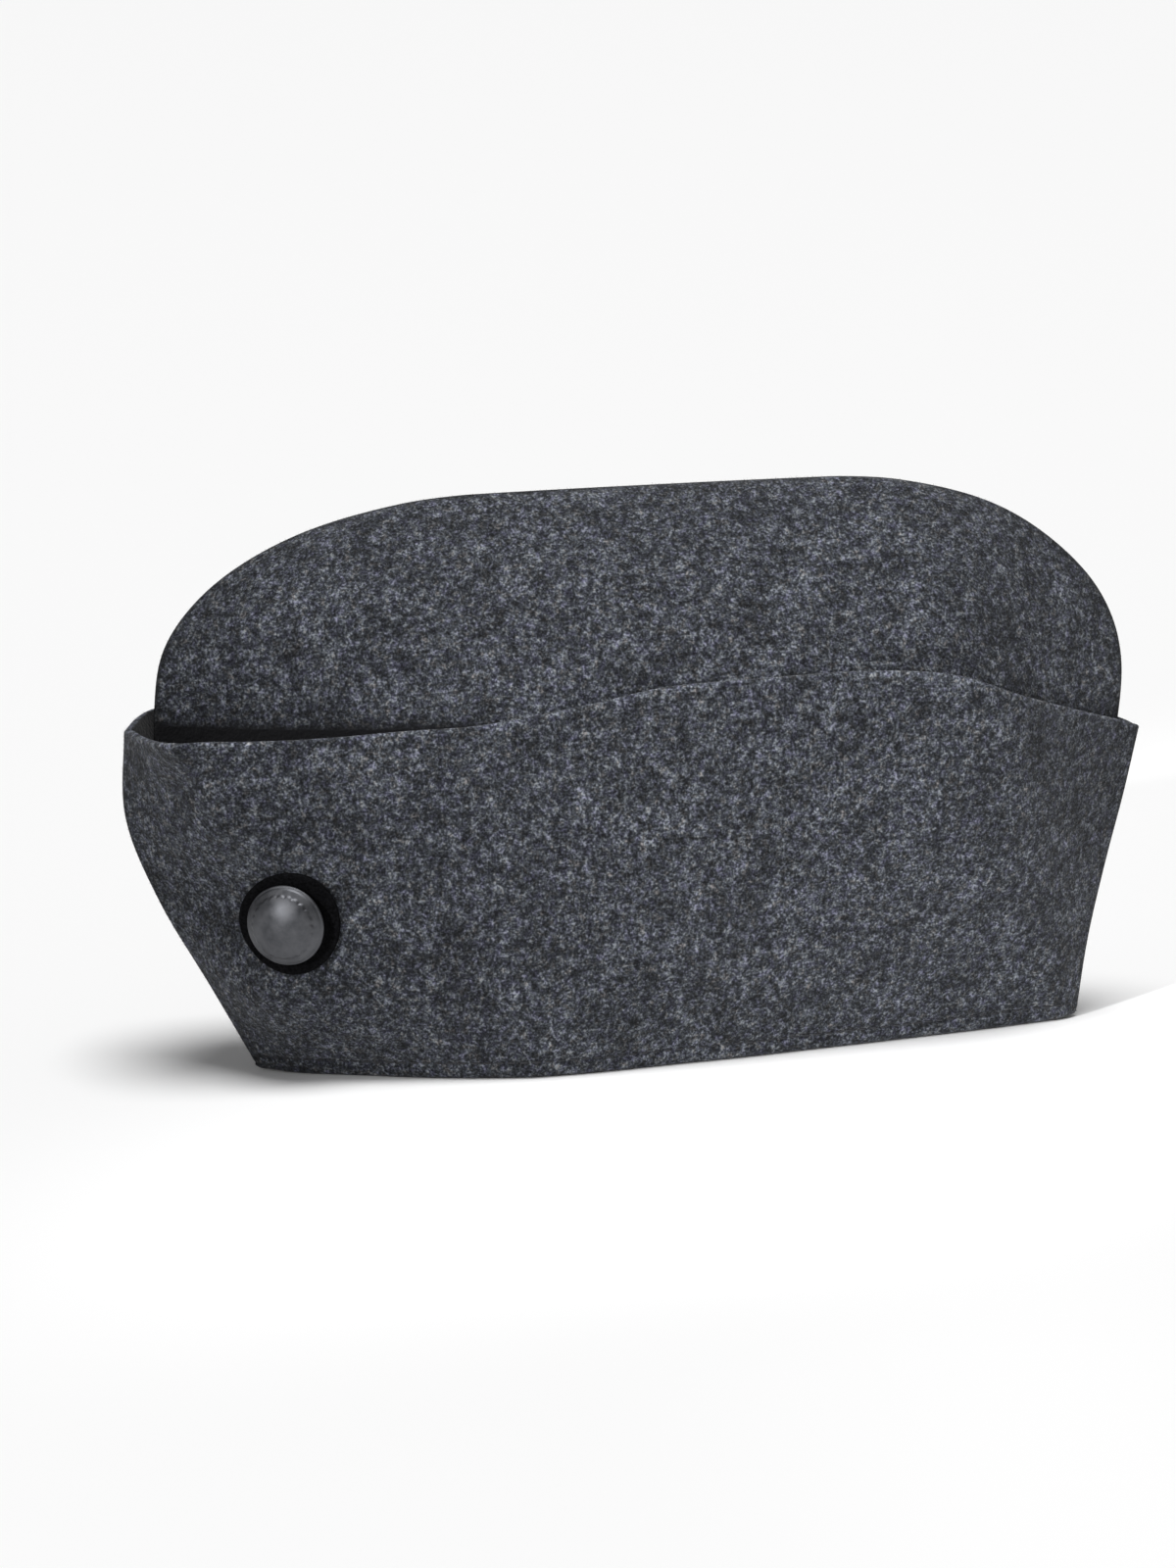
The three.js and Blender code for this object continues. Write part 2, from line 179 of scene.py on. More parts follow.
# Gentle waves of the cloth: length of a wave, its heading in degrees, its start, and its height.
WAVE_COLUMNS = ("length", "heading", "start", "height")
CLOTH_WAVES = (
    (0.047, 25, 0.4, 0.00022),
    (0.031, -40, 1.9, 0.00016),
    (0.083, 78, 3.1, 0.00030),
    (0.022, 110, 5.0, 0.00008),
)

# How finely the pieces are divided
WALL_COLUMNS = 260
COLUMN_CROWDING = 1.6  # power that crowds the columns towards the seams
CROWN_ROWS = 110
CREST_CROWDING = 1.5  # power that crowds the rows towards the crest
HEM_ROWS = 14
CURTAIN_ROWS = 64
ARC_STEPS = 8
BUTTON_SPOKES = 192
BUTTON_RINGS = 56
FELT_SPOKES = 72


def rows_at(sections, places):
    """Sections between the rows of a table, on a smooth curve; places count rows from 0."""
    table = np.array(sections, float)
    last = len(table) - 1
    places = np.clip(places, 0, last)
    i = np.minimum(places.astype(int), last - 1)
    f = (places - i)[..., None]
    b, c = table[i], table[i + 1]
    a = np.where((i > 0)[..., None], table[np.maximum(i - 1, 0)], 2 * b - c)
    d = np.where((i + 2 <= last)[..., None], table[np.minimum(i + 2, last)], 2 * c - b)
    square = 2 * a - 5 * b + 4 * c - d
    cube = 3 * b - a - 3 * c + d
    values = 0.5 * (2 * b + (c - a) * f + square * f**2 + cube * f**3)
    return {name: values[..., k] for k, name in enumerate(SECTION_COLUMNS)}


def rounded_min(a, b, width):
    """The lesser of two values, with the corner between them rounded over a width."""
    h = np.maximum(width - np.abs(a - b), 0) / width
    return np.minimum(a, b) - h * h * width / 4


def half_width(x, s):
    """Half-width of a section at x: an arched side, cut off by the straight front and back."""
    ahead = x < s["widest"]
    reach = np.where(ahead, s["widest"] - s["front"], s["back"] - s["widest"])
    taper = np.where(ahead, s["front_taper"], s["back_taper"])
    side = s["half"] * (1 - taper * (np.abs(x - s["widest"]) / reach) ** s["arch"])
    front = (x - s["front"]) * np.tan(np.radians(s["front_deg"]))
    back = (s["back"] - x) * np.tan(np.radians(s["back_deg"]))
    opened = rounded_min(side, front, bend_width(FRONT_ROUND, s["half"], s["front_taper"]))
    return np.maximum(rounded_min(opened, back, bend_width(BACK_ROUND, s["half"], s["back_taper"])), 0)


def bend_width(largest, half, taper):
    """Size of a bend, kept below the half-width that a section has at that end."""
    return np.minimum(largest, END_ROUND * half * (1 - taper) + 1e-9)


def top_edge(x):
    """Height of the curtain's top edge at x."""
    xs, zs = np.array(TOP_EDGE).T
    x = np.clip(x, xs[0], xs[-1])
    slope = np.empty_like(zs)
    slope[1:-1] = (zs[2:] - zs[:-2]) / (xs[2:] - xs[:-2])
    slope[0] = (zs[1] - zs[0]) / (xs[1] - xs[0])
    slope[-1] = (zs[-1] - zs[-2]) / (xs[-1] - xs[-2])
    i = np.clip(np.searchsorted(xs, x) - 1, 0, len(xs) - 2)
    step = xs[i + 1] - xs[i]
    f = (x - xs[i]) / step
    rise = 3 * f**2 - 2 * f**3
    ends = f * (1 - f) ** 2 * slope[i] - f**2 * (1 - f) * slope[i + 1]
    return zs[i] + (zs[i + 1] - zs[i]) * rise + step * ends


def dent_depth(dents, x, z):
    depth = np.zeros_like(x)
    for dent in dents:
        d = dict(zip(DENT_COLUMNS, dent))
        c, s = math.cos(math.radians(d["turn"])), math.sin(math.radians(d["turn"]))
        along = ((x - d["x"]) * c + (z - d["z"]) * s) / d["along"]
        across = ((z - d["z"]) * c - (x - d["x"]) * s) / d["across"]
        depth += d["depth"] * np.exp(-(along**2) - across**2)
    return depth


def cloth_waves(x, z):
    """Slow swells of the cloth, in and out."""
    total = np.zeros_like(x)
    for wave in CLOTH_WAVES:
        w = dict(zip(WAVE_COLUMNS, wave))
        heading = math.radians(w["heading"])
        way = (x * math.cos(heading) + z * math.sin(heading)) / w["length"]
        total += w["height"] * np.sin(2 * math.pi * way + w["start"])
    return total


def left_points(x, z, half, dents):
    """Points of the left side from their half-widths, with dents and waves."""
    pressed = dent_depth(dents, x, z) + cloth_waves(x, z)
    half = np.maximum(half - pressed * np.minimum(half / DENT_FADE, 1), 0)
    return np.stack([x, -(half + SEAM_GAP / 2), z], -1)


def column_shares():
    """Shares of a section's length, crowded towards both seams."""
    s = np.linspace(-1, 1, WALL_COLUMNS + 1)
    return 0.5 + 0.5 * np.sign(s) * (1 - (1 - np.abs(s)) ** COLUMN_CROWDING)


def unit(vectors):
    return vectors / np.maximum(np.linalg.norm(vectors, axis=-1, keepdims=True), 1e-12)


def outward(grid):
    """Normals of a grid of points, columns first, pointing away from the cap."""
    along = np.gradient(grid, axis=0)
    up = np.gradient(grid, axis=1)
    return unit(np.cross(along, up))


def on_own_side(points):
    """Points held on the left of the centre plane."""
    points = points.copy()
    points[..., 1] = np.minimum(points[..., 1], -SEAM_GAP / 2)
    return points


def rolled_edges(grid, normals):
    """The grid with its edges rolled into the seams, so that two panels meet in a furrow."""
    near = np.clip((-grid[..., 1] - SEAM_GAP / 2) / SEAM_ROUND, 0, 1)
    sink = SEAM_ROUND * (1 - np.sqrt(1 - (1 - near) ** 2))
    return on_own_side(grid - normals * sink[..., None])


def crown_grid():
    """Outer points of the left crown panel, column by column from the front, each from the bottom up."""
    up = np.linspace(0, 1, CROWN_ROWS + 1)
    places = (len(CROWN_SECTIONS) - 1) * (1 - (1 - up) ** CREST_CROWDING)
    s = {name: value[None, :] for name, value in rows_at(CROWN_SECTIONS, places).items()}
    x = s["front"] + (s["back"] - s["front"]) * column_shares()[:, None]
    z = np.broadcast_to(s["level"], x.shape)
    return left_points(x, z, half_width(x, s), SHARED_DENTS)


def curtain_face(x, z):
    """Outer points of the left half of the curtain at x and height z."""
    places = z / top_edge(x) * (len(CURTAIN_SECTIONS) - 1)
    s = rows_at(CURTAIN_SECTIONS, places)
    return left_points(x, z, half_width(x, s), SHARED_DENTS + CURTAIN_DENTS)


def curtain_grid():
    """Outer points of the left half of the curtain, with close rows along the hem."""
    foot = np.linspace(HEM_ROUND, HEM_BAND, HEM_ROWS, endpoint=False)
    rise = np.linspace(0, 1, CURTAIN_ROWS + 1)
    base = np.concatenate([foot, np.full(len(rise), HEM_BAND)])
    share = np.concatenate([np.zeros(len(foot)), rise])
    columns = column_shares()[:, None]
    x = np.broadcast_to((columns - 0.5) * 0.28, (len(columns), len(base)))
    for _ in range(4):
        z = base + share * (top_edge(x) - WALL / 2 - HEM_BAND)
        s = rows_at(CURTAIN_SECTIONS, z / top_edge(x) * (len(CURTAIN_SECTIONS) - 1))
        x = s["front"] + (s["back"] - s["front"]) * columns
    return curtain_face(x, z)


def furrowed(grid, normals):
    """The curtain with the furrow of its hem stitches and the swell of the folded hem under them."""
    height = grid[..., 2]
    sink = STITCH_SINK * np.exp(-(((height - STITCH_HEIGHT) / STITCH_FURROW) ** 2))
    puff = HEM_PUFF * np.sin(math.pi * np.clip(height / STITCH_HEIGHT, 0, 1))
    fade = np.clip(-grid[..., 1] / DENT_FADE, 0, 1)
    return grid + normals * ((puff - sink) * fade)[..., None]


def seam_painted_shade(grid):
    """Painted shade: the cloth's colour darkened in the furrow of the seam."""
    depth = (-grid[..., 1] - SEAM_GAP / 2) / SEAM_PAINTED_SHADE_WIDTH
    return 1 - SEAM_PAINTED_SHADE * np.exp(-(depth**2))


def crown_loops():
    """Closed loops of the left crown panel, with the painted shadow in the open slot and each point's tone."""
    grid = crown_grid()
    normals = outward(grid)
    inner = on_own_side(grid - normals * WALL)
    inner[:, 0, 2] = grid[:, 0, 2]
    outer = rolled_edges(grid, normals)
    loops = np.concatenate([outer, inner[:, ::-1]], axis=1)
    # Painted shadow: the crown is painted dark where it lies below the curtain's edge in the open slot, and a
    # little over it.
    open_front = np.clip((SLOT_END - grid[..., 0]) / SLOT_FADE, 0, 1)
    reach = top_edge(grid[..., 0]) + SLOT_SHADOW_RISE * open_front
    slot_shadow = np.clip((reach - grid[..., 2]) / SLOT_SHADOW_FADE + 0.5, 0, 1) * np.minimum(1, 3 * open_front)
    darkened = np.concatenate([slot_shadow, np.zeros(inner.shape[:2])], axis=1)
    tone = np.concatenate([seam_painted_shade(grid), np.ones(inner.shape[:2])], axis=1)
    return loops, darkened, tone


def curtain_loops():
    """Closed loops of the left half of the curtain: up the outside, over the edge, down and round the hem.

    With them come the dark colour of the inside faces and the tone of each point: painted shade in the seam's
    furrow, and worn nap with a painted highlight along the top edge.
    """
    grid = curtain_grid()
    normals = outward(grid)
    inner = on_own_side(grid - normals * WALL)
    outer = rolled_edges(furrowed(grid, normals), normals)
    turn = np.linspace(0, math.pi, ARC_STEPS + 1)[1:-1]
    up = unit(grid[:, -1] - grid[:, -2])
    middle = (outer[:, -1] + inner[:, -1]) / 2
    across = (outer[:, -1] - inner[:, -1]) / 2
    lift = up * (WALL / 2)
    edge = middle[:, None] + across[:, None] * np.cos(turn)[:, None] + lift[:, None] * np.sin(turn)[:, None]
    hem = hem_points(grid[:, 0], normals[:, 0])
    loops = np.concatenate([outer, on_own_side(edge), inner[:, ::-1], hem], axis=1)
    counts = (outer.shape[1], edge.shape[1], inner.shape[1], hem.shape[1])
    # The curtain's inside faces take the dark colour.
    darkened = np.tile(np.repeat([0.0, 0.0, 1.0, 0.0], counts), (len(loops), 1))
    # Worn nap and a painted highlight along the top edge, where the rounded fold catches the light.
    below = (top_edge(grid[..., 0]) - grid[..., 2]) / EDGE_WEAR_AND_HIGHLIGHT_WIDTH
    worn_and_lit = 1 + EDGE_WEAR_AND_HIGHLIGHT * np.exp(-(below**2))
    tone = np.ones(loops.shape[:2])
    tone[:, : outer.shape[1]] = worn_and_lit * seam_painted_shade(grid)
    tone[:, outer.shape[1] : outer.shape[1] + edge.shape[1]] = 1 + EDGE_WEAR_AND_HIGHLIGHT
    return loops, darkened, tone


def hem_points(foot, normals):
    """The folded hem, from over its lip round underneath to the fold at the curtain's foot."""
    level = unit(normals * np.array([1.0, 1.0, 0.0]))
    radius = WALL / 2
    lip = np.linspace(math.pi / 2, -math.pi / 2, ARC_STEPS + 1)
    fold = np.linspace(math.pi / 2, 0, ARC_STEPS + 1)[:-1]
    depths = [WALL + radius / 4]
    heights = [WALL]
    for angle in lip:
        depths.append(HEM_REACH - radius + radius * math.cos(angle))
        heights.append(radius + radius * math.sin(angle))
    for angle in fold:
        depths.append(HEM_ROUND - HEM_ROUND * math.cos(angle))
        heights.append(HEM_ROUND - HEM_ROUND * math.sin(angle))
    points = foot[:, None] - level[:, None] * np.array(depths)[:, None]
    points[..., 2] = np.array(heights)
    return on_own_side(points)


def corner_rounded(loops):
    """Loops with the curtain's four corners in the centre plane rounded off."""
    points = loops.copy()
    for end, inward in ((0, 1.0), (-1, -1.0)):
        tip = loops[end]
        near = np.abs(loops[..., 0] - np.interp(loops[..., 2], *profile_of(tip)))
        from_foot = loops[..., 2] - tip[:, 2].min()
        from_edge = tip[:, 2].max() - loops[..., 2]
        for reach, radius in ((from_foot, FOOT_CORNER), (from_edge, EDGE_CORNER)):
            short = np.clip(1 - reach / radius, 0, 1)
            pull = radius * (1 - np.sqrt(1 - short**2))
            points[..., 0] += inward * pull * np.exp(-((near / (2 * radius)) ** 2))
    return points


def profile_of(tip):
    """A seam's outer line as heights and x, with the heights rising."""
    order = np.argsort(tip[:, 2])
    return tip[order, 2], tip[order, 0]


def wall_object(name, loops, shades, mirror):
    """A closed wall from loops of points, one for each column, on the left or mirrored to the right."""
    columns, around, _ = loops.shape
    points = loops.reshape(-1, 3) * np.array([1.0, -1.0 if mirror else 1.0, 1.0])
    faces = []
    for i in range(columns - 1):
        for k in range(around):
            a, b = i * around + k, i * around + (k + 1) % around
            faces.append((a, a + around, b + around, b))
    last = (columns - 1) * around
    faces.append(tuple(range(around)))
    faces.append(tuple(range(last + around - 1, last - 1, -1)))
    if mirror:
        faces = [face[::-1] for face in faces]
    mesh = bpy.data.meshes.new(name)
    mesh.from_pydata(points.tolist(), [], faces)
    for label, values in shades.items():
        layer = mesh.attributes.new(label, "FLOAT", "POINT")
        layer.data.foreach_set("value", values.astype(np.float32).ravel())
    mesh.shade_smooth()
    return linked(name, mesh)


def linked(name, mesh):
    piece = bpy.data.objects.new(name, mesh)
    bpy.context.scene.collection.objects.link(piece)
    return piece


def add(tree, kind, values=None, **settings):
    """A node with its settings and inputs; an input is a number, a colour or another node's socket."""
    made = tree.nodes.new(kind)
    for name, value in settings.items():
        setattr(made, name, value)
    for key, value in (values or {}).items():
        if isinstance(value, bpy.types.NodeSocket):
            tree.links.new(value, made.inputs[key])
        else:
            made.inputs[key].default_value = value
    return made


def ramp(tree, factor, stops):
    """A colour ramp from (place, colour) stops."""
    made = add(tree, "ShaderNodeValToRGB", {"Fac": factor})
    elements = made.color_ramp.elements
    while len(elements) < len(stops):
        elements.new(0.5)
    for element, (place, colour) in zip(elements, stops):
        element.position = place
        element.color = (*colour, 1.0)
    return made.outputs["Color"]


def material(name):
    """A new material with its node tree and principled shader."""
    made = bpy.data.materials.new(name)
    made.use_nodes = True
    tree = made.node_tree
    return made, tree, tree.nodes["Principled BSDF"]


def noise(tree, place, scale, detail=2.0, rough=0.5):
    return add(
        tree, "ShaderNodeTexNoise", {"Vector": place, "Scale": scale, "Detail": detail, "Roughness": rough}
    ).outputs["Fac"]


def math_node(tree, operation, a, b):
    return add(tree, "ShaderNodeMath", {0: a, 1: b}, operation=operation).outputs[0]


def wool_material():
    """Grey-blue melange: light and dark fibres mixed, in flecks, tufts and slow blotches of tone and hue."""
    made, tree, shader = material("melange_wool")
    place = add(tree, "ShaderNodeTexCoord").outputs["Object"]
    fleck = noise(tree, place, 1350.0, 2.0, 0.65)
    tuft = noise(tree, place, 430.0, 2.0, 0.6)
    blotch = noise(tree, place, 95.0, 3.0, 0.6)
    fine = math_node(tree, "MULTIPLY", fleck, FLECK_SHARE)
    coarse = math_node(tree, "MULTIPLY", tuft, TUFT_SHARE)
    mixed = math_node(tree, "ADD", fine, coarse)
    colour = ramp(tree, mixed, WOOL_STOPS)
    hue = ramp(tree, noise(tree, place, 520.0, 3.0, 0.65), WOOL_HUES)
    hued = add(tree, "ShaderNodeVectorMath", {0: colour, 1: hue}, operation="MULTIPLY").outputs[0]
    slow = add(tree, "ShaderNodeMapRange", {"Value": blotch, 1: 0.3, 2: 0.7, 3: 0.62, 4: 1.38}).outputs[0]
    # The "tone" attribute carries painted shade in the seam furrows, and worn nap with a painted highlight on
    # the curtain's top edge.
    along = add(tree, "ShaderNodeAttribute", attribute_name="tone").outputs["Fac"]
    tone = math_node(tree, "MULTIPLY", slow, along)
    toned = add(tree, "ShaderNodeVectorMath", {0: hued, "Scale": tone}, operation="SCALE").outputs[0]
    # The "inside" attribute paints the dark colour: the curtain's inside faces, and painted shadow on the crown
    # in the open slot.
    inside = add(tree, "ShaderNodeAttribute", attribute_name="inside").outputs["Fac"]
    shaded = add(tree, "ShaderNodeMix", {0: inside, 6: toned, 7: DARK_INSIDE_AND_SHADOW_COLOUR}, data_type="RGBA").outputs[2]
    tree.links.new(shaded, shader.inputs["Base Color"])
    height = math_node(tree, "ADD", fleck, math_node(tree, "MULTIPLY", tuft, 1.4))
    bump = add(tree, "ShaderNodeBump", {"Height": height, "Strength": 0.6, "Distance": 0.0007})
    tree.links.new(bump.outputs[0], shader.inputs["Normal"])
    shader.inputs["Roughness"].default_value = 0.92
    shader.inputs["Specular IOR Level"].default_value = 0.15
    shader.inputs["Sheen Weight"].default_value = 0.08
    shader.inputs["Sheen Roughness"].default_value = 0.5
    return made


FLECK_SHARE = 0.6  # of the wool's grain, against the larger tufts
TUFT_SHARE = 0.4
WOOL_STOPS = (
    (0.36, (0.0044, 0.0047, 0.0060)),
    (0.47, (0.0180, 0.0193, 0.0240)),
    (0.55, (0.0530, 0.0562, 0.0681)),
    (0.66, (0.176, 0.182, 0.208)),
)
WOOL_HUES = (
    (0.34, (1.10, 1.00, 0.87)),
    (0.46, (0.97, 1.03, 0.97)),
    (0.56, (0.98, 0.99, 1.04)),
    (0.68, (0.97, 0.94, 1.15)),
)
# Dark colour of the curtain's inside faces, also painted as shadow on the crown in the open slot.
DARK_INSIDE_AND_SHADOW_COLOUR = (0.004, 0.004, 0.005, 1.0)


def fibre_material():
    """Single wool fibres, each with its own shade."""
    made, tree, shader = material("loose_fibres")
    shade = add(tree, "ShaderNodeAttribute", attribute_name="shade").outputs["Fac"]
    stops = (
        (0.0, (0.0095, 0.0103, 0.0127)),
        (0.45, (0.032, 0.0345, 0.042)),
        (0.80, (0.097, 0.101, 0.117)),
        (1.0, (0.255, 0.262, 0.288)),
    )
    tree.links.new(ramp(tree, shade, stops), shader.inputs["Base Color"])
    shader.inputs["Roughness"].default_value = 0.7
    shader.inputs["Specular IOR Level"].default_value = 0.25
    return made


def felt_material():
    """Matt black felt with a short nap."""
    made, tree, shader = material("black_felt")
    place = add(tree, "ShaderNodeTexCoord").outputs["Object"]
    nap = noise(tree, place, 1500.0, 2.0, 0.6)
    colour = ramp(tree, nap, ((0.35, (0.0012, 0.0012, 0.0014)), (0.68, (0.0052, 0.0052, 0.006))))
    tree.links.new(colour, shader.inputs["Base Color"])
    bump = add(tree, "ShaderNodeBump", {"Height": nap, "Strength": 0.5, "Distance": 0.0005})
    tree.links.new(bump.outputs[0], shader.inputs["Normal"])
    shader.inputs["Roughness"].default_value = 1.0
    shader.inputs["Specular IOR Level"].default_value = 0.04
    return made


def metal_material():
    """Dark gunmetal, half polished, with cloudy wear and fine scratches."""
    made, tree, shader = material("gunmetal")
    place = add(tree, "ShaderNodeTexCoord").outputs["Object"]
    cloud = noise(tree, place, 260.0, 3.0, 0.6)
    scratch = noise(tree, place, 2600.0, 2.0, 0.7)
    colour = ramp(tree, cloud, ((0.3, (0.060, 0.062, 0.068)), (0.7, (0.105, 0.107, 0.115))))
    tree.links.new(colour, shader.inputs["Base Color"])
    shine = add(tree, "ShaderNodeMapRange", {"Value": cloud, 1: 0.3, 2: 0.7, 3: 0.40, 4: 0.54}).outputs[0]
    tree.links.new(shine, shader.inputs["Roughness"])
    bump = add(tree, "ShaderNodeBump", {"Height": scratch, "Strength": 0.08, "Distance": 0.0002})
    tree.links.new(bump.outputs[0], shader.inputs["Normal"])
    shader.inputs["Metallic"].default_value = 1.0
    return made


def thread_material():
    """Dark sewing thread with its twist."""
    made, tree, shader = material("dark_thread")
    place = add(tree, "ShaderNodeTexCoord").outputs["Object"]
    twist = noise(tree, place, 3000.0, 1.0, 0.5)
    colour = ramp(tree, twist, ((0.35, (0.006, 0.006, 0.008)), (0.65, (0.020, 0.021, 0.026))))
    tree.links.new(colour, shader.inputs["Base Color"])
    shader.inputs["Roughness"].default_value = 0.75
    return made


def node_tree(name, inputs):
    """A geometry tree with named inputs, as (name, socket kind), and its two end nodes."""
    tree = bpy.data.node_groups.new(name, "GeometryNodeTree")
    tree.interface.new_socket("Geometry", in_out="INPUT", socket_type="NodeSocketGeometry")
    for label, kind in inputs:
        tree.interface.new_socket(label, in_out="INPUT", socket_type="NodeSocket" + kind)
    tree.interface.new_socket("Geometry", in_out="OUTPUT", socket_type="NodeSocketGeometry")
    return tree, tree.nodes.new("NodeGroupInput").outputs, tree.nodes.new("NodeGroupOutput").inputs


def grown(piece, tree, values):
    """The piece with its tree's result as a plain mesh."""
    modifier = piece.modifiers.new(tree.name, "NODES")
    modifier.node_group = tree
    for item in tree.interface.items_tree:
        if item.in_out == "INPUT" and item.name in values:
            modifier[item.identifier] = values[item.name]
    deps = bpy.context.evaluated_depsgraph_get()
    mesh = bpy.data.meshes.new_from_object(piece.evaluated_get(deps), depsgraph=deps)
    piece.modifiers.clear()
    piece.data = mesh
    return piece


def fibre_tree():
    """Loose fibres scattered over the outside of a wall, each a slim blade with a shade of its own."""
    tree, given, result = node_tree(
        "loose_fibres",
        (("Density", "Float"), ("Length", "Float"), ("Width", "Float"), ("Lift", "Float"), ("Floor", "Float"),
         ("Seed", "Int"), ("Material", "Material")),
    )
    inside = add(tree, "GeometryNodeInputNamedAttribute", {"Name": "inside"}, data_type="FLOAT").outputs[0]
    bare = add(tree, "FunctionNodeCompare", {0: inside, 1: 0.01}, operation="LESS_THAN").outputs[0]
    root_place = add(tree, "GeometryNodeInputPosition").outputs[0]
    height = add(tree, "ShaderNodeSeparateXYZ", {0: root_place}).outputs[2]
    limits = {0: height, 1: given["Floor"]}
    clear = add(tree, "FunctionNodeCompare", limits, operation="GREATER_THAN").outputs[0]
    outside = add(tree, "FunctionNodeBooleanMath", {0: bare, 1: clear}, operation="AND").outputs[0]
    scattered = add(
        tree, "GeometryNodeDistributePointsOnFaces",
        {"Mesh": given["Geometry"], "Selection": outside, "Density": given["Density"], "Seed": given["Seed"]},
    )
    blade = add(tree, "GeometryNodeMeshCircle", {"Vertices": 3, "Radius": 1.0}, fill_type="NGON").outputs[0]
    long = add(tree, "ShaderNodeMath", {0: given["Length"], 1: 1.5}, operation="DIVIDE").outputs[0]
    wide = add(tree, "ShaderNodeMath", {0: given["Width"], 1: 1.732}, operation="DIVIDE").outputs[0]
    size = add(tree, "ShaderNodeCombineXYZ", {0: long, 1: wide, 2: 1.0}).outputs[0]
    shift = add(tree, "ShaderNodeCombineXYZ", {0: math_node(tree, "MULTIPLY", long, 0.3)}).outputs[0]
    moved = {"Geometry": blade, "Translation": shift, "Scale": size}
    slim = add(tree, "GeometryNodeTransform", moved).outputs[0]
    stray = add(
        tree, "FunctionNodeRandomValue", {0: (-1, -1, -1), 1: (1, 1, 1), "Seed": 11}, data_type="FLOAT_VECTOR"
    ).outputs[0]
    risen = add(
        tree,
        "ShaderNodeVectorMath",
        {0: scattered.outputs["Normal"], "Scale": given["Lift"]},
        operation="SCALE",
    ).outputs[0]
    heading = add(tree, "ShaderNodeVectorMath", {0: stray, 1: risen}, operation="ADD").outputs[0]
    turned = add(tree, "FunctionNodeAlignRotationToVector", {"Vector": heading}, axis="X").outputs[0]
    spread = add(tree, "FunctionNodeRandomValue", {2: 0.45, 3: 1.0, "Seed": 12}, data_type="FLOAT").outputs[1]
    placed = add(
        tree, "GeometryNodeInstanceOnPoints",
        {"Points": scattered.outputs["Points"], "Instance": slim, "Rotation": turned, "Scale": spread},
    ).outputs[0]
    shade = add(tree, "FunctionNodeRandomValue", {2: 0.0, 3: 1.0, "Seed": 13}, data_type="FLOAT").outputs[1]
    shaded = add(
        tree, "GeometryNodeStoreNamedAttribute", {"Geometry": placed, "Name": "shade", "Value": shade},
        data_type="FLOAT", domain="INSTANCE",
    ).outputs[0]
    real = add(tree, "GeometryNodeRealizeInstances", {"Geometry": shaded}).outputs[0]
    coat = {"Geometry": real, "Material": given["Material"]}
    painted = add(tree, "GeometryNodeSetMaterial", coat).outputs[0]
    tree.links.new(painted, result["Geometry"])
    return tree


def stitch_tree():
    """Stitches at an even pitch along a line, each lying along it and flat on the cloth."""
    tree, given, result = node_tree(
        "hem_stitches",
        (("Pitch", "Float"), ("Length", "Float"), ("Width", "Float"), ("Material", "Material")),
    )
    path = add(tree, "GeometryNodeMeshToCurve", {"Mesh": given["Geometry"]}).outputs[0]
    even = add(
        tree, "GeometryNodeResampleCurve", {"Curve": path, "Length": given["Pitch"]}, mode="LENGTH"
    ).outputs[0]
    out = add(tree, "GeometryNodeInputNamedAttribute", {"Name": "out"}, data_type="FLOAT_VECTOR").outputs[0]
    tangent = add(tree, "GeometryNodeInputTangent").outputs[0]
    along = add(tree, "FunctionNodeAlignRotationToVector", {"Vector": tangent}, axis="X").outputs[0]
    flat = add(
        tree,
        "FunctionNodeAlignRotationToVector",
        {"Rotation": along, "Vector": out},
        axis="Z",
        pivot_axis="X",
    ).outputs[0]
    ball = add(tree, "GeometryNodeMeshUVSphere", {"Segments": 10, "Rings": 6, "Radius": 0.5}).outputs[0]
    sides = {0: given["Length"], 1: given["Width"], 2: given["Width"]}
    size = add(tree, "ShaderNodeCombineXYZ", sides).outputs[0]
    thread = add(tree, "GeometryNodeTransform", {"Geometry": ball, "Scale": size}).outputs[0]
    placed = add(
        tree, "GeometryNodeInstanceOnPoints", {"Points": even, "Instance": thread, "Rotation": flat}
    ).outputs[0]
    real = add(tree, "GeometryNodeRealizeInstances", {"Geometry": placed}).outputs[0]
    smooth = add(tree, "GeometryNodeSetShadeSmooth", {"Geometry": real}).outputs[0]
    coat = {"Geometry": smooth, "Material": given["Material"]}
    painted = add(tree, "GeometryNodeSetMaterial", coat).outputs[0]
    tree.links.new(painted, result["Geometry"])
    return tree


def line_object(name, points, normals):
    """A line of points that carries the cloth's normals."""
    mesh = bpy.data.meshes.new(name)
    mesh.from_pydata(points.tolist(), [(k, k + 1) for k in range(len(points) - 1)], [])
    layer = mesh.attributes.new("out", "FLOAT_VECTOR", "POINT")
    layer.data.foreach_set("vector", normals.astype(np.float32).ravel())
    return linked(name, mesh)


def stitch_line():
    """The line of the hem stitches on the left, in its furrow, with the cloth's normals."""
    grid = curtain_grid()
    normals = outward(grid)
    row = int(np.abs(grid[0, :, 2] - STITCH_HEIGHT).argmin())
    sunk = furrowed(grid, normals)[:, row] + normals[:, row] * STITCH_WIDTH * 0.1
    keep = -grid[:, row, 1] > 2 * SEAM_ROUND
    return sunk[keep], normals[keep, row]


def hem_stitches(name, tree, finish, mirror):
    points, normals = stitch_line()
    flip = np.array([1.0, -1.0 if mirror else 1.0, 1.0])
    piece = line_object(name, points * flip, normals * flip)
    values = {"Pitch": STITCH_PITCH, "Length": STITCH_LENGTH, "Width": STITCH_WIDTH, "Material": finish}
    return grown(piece, tree, values)


